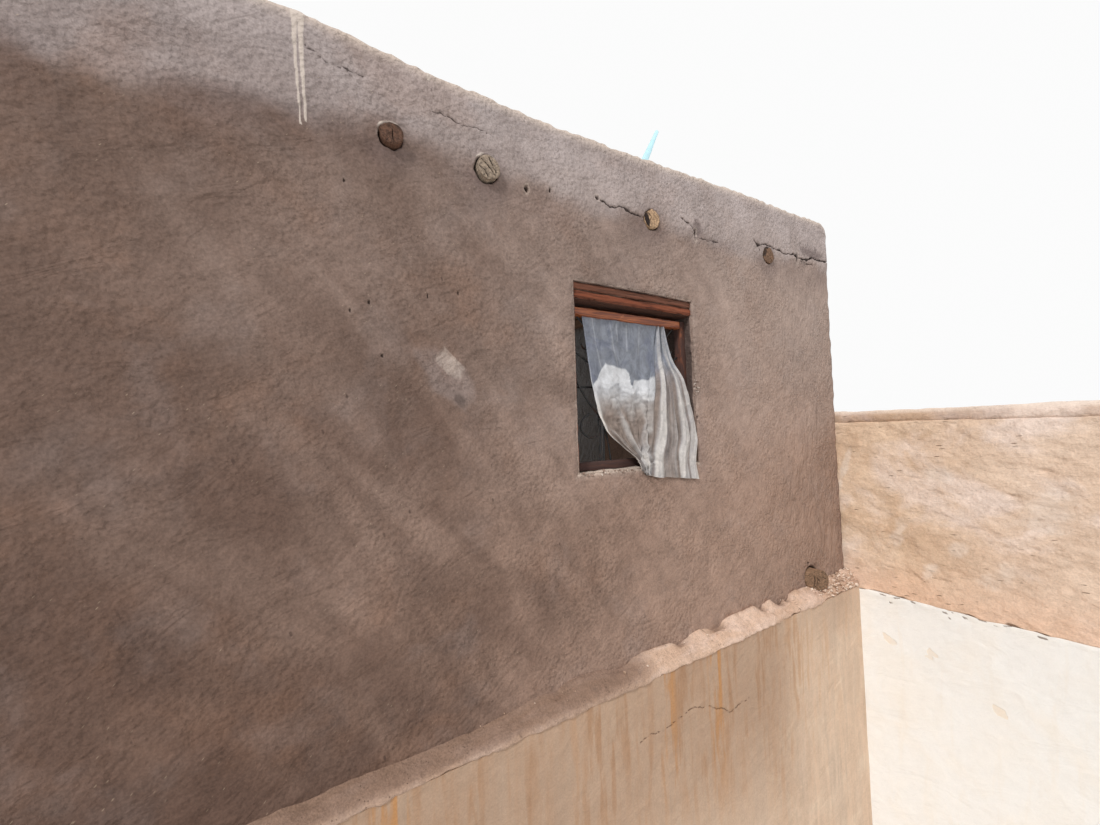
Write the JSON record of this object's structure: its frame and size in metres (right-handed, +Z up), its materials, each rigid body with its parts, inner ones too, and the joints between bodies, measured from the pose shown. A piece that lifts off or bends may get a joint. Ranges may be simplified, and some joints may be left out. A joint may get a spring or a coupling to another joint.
{
  "type": "adobe house",
  "caption": "Flat-roofed adobe house with an upper room: thick mud-plastered walls, a pole roof behind a low parapet, a timber window, a doorway and a stub of courtyard wall.",
  "frame": {"origin": "the middle of the whole footprint, courtyard wall and ledges included, at ground level", "axes": "+X along the front to the courtyard wall's end, +Y from the front to the back, +Z up; the window looks towards -Y"},
  "size_m": [6.482, 5.712, 6.2091],
  "materials": {
    "mud_plaster": "trowelled grey-brown mud plaster with straw",
    "lower_plaster": "streaked tan-cream plaster",
    "ledge_mud": "hand-smoothed pinkish mud",
    "yard_mud": "sandy peach-coloured mud plaster",
    "yard_wash": "smooth cream plaster, peeled in places",
    "beaten_earth": "beaten earth",
    "reed": "reed matting",
    "pole_timber": "weathered round timber",
    "lintel_timber": "weathered reddish boards",
    "frame_timber": "worn orange-brown varnish",
    "door_timber": "weathered boards",
    "sheet": "thin pale sheet",
    "stake_paint": "flaking turquoise paint"
  },
  "bodies": {
    "root": {"lower_front_wall_left": "lower_plaster", "lower_front_wall_right": "lower_plaster", "lower_front_wall_over_door": "lower_plaster", "lower_back_wall": "lower_plaster", "lower_left_wall": "lower_plaster", "lower_right_wall": "lower_plaster", "front_ledge": "ledge_mud", "back_ledge": "ledge_mud", "left_ledge": "ledge_mud", "right_ledge": "ledge_mud", "door_lintel": "door_timber", "door_frame_head": "door_timber", "door_left_jamb": "door_timber", "door_right_jamb": "door_timber", "door_threshold": "door_timber", "floor_joists": "pole_timber", "floor_mat": "reed", "floor_earth": "beaten_earth", "upper_front_wall_left": "mud_plaster", "upper_front_wall_right": "mud_plaster", "upper_front_wall_under_window": "mud_plaster", "upper_front_wall_over_window": "mud_plaster", "upper_back_wall": "mud_plaster", "upper_left_wall": "mud_plaster", "upper_right_wall": "mud_plaster", "window_lintel_lower": "lintel_timber", "window_lintel_upper": "lintel_timber", "window_frame_head": "frame_timber", "window_frame_sill": "frame_timber", "window_left_jamb": "frame_timber", "window_right_jamb": "frame_timber", "window_sheet": "sheet", "roof_poles": "pole_timber", "roof_mat": "reed", "roof_earth": "beaten_earth", "front_parapet": "mud_plaster", "back_parapet": "mud_plaster", "left_parapet": "mud_plaster", "right_parapet": "mud_plaster", "roof_stake": "stake_paint", "courtyard_wall_lower": "yard_wash", "courtyard_wall_upper": "yard_mud", "courtyard_wall_coping": "yard_mud"}
  },
  "joints": []
}
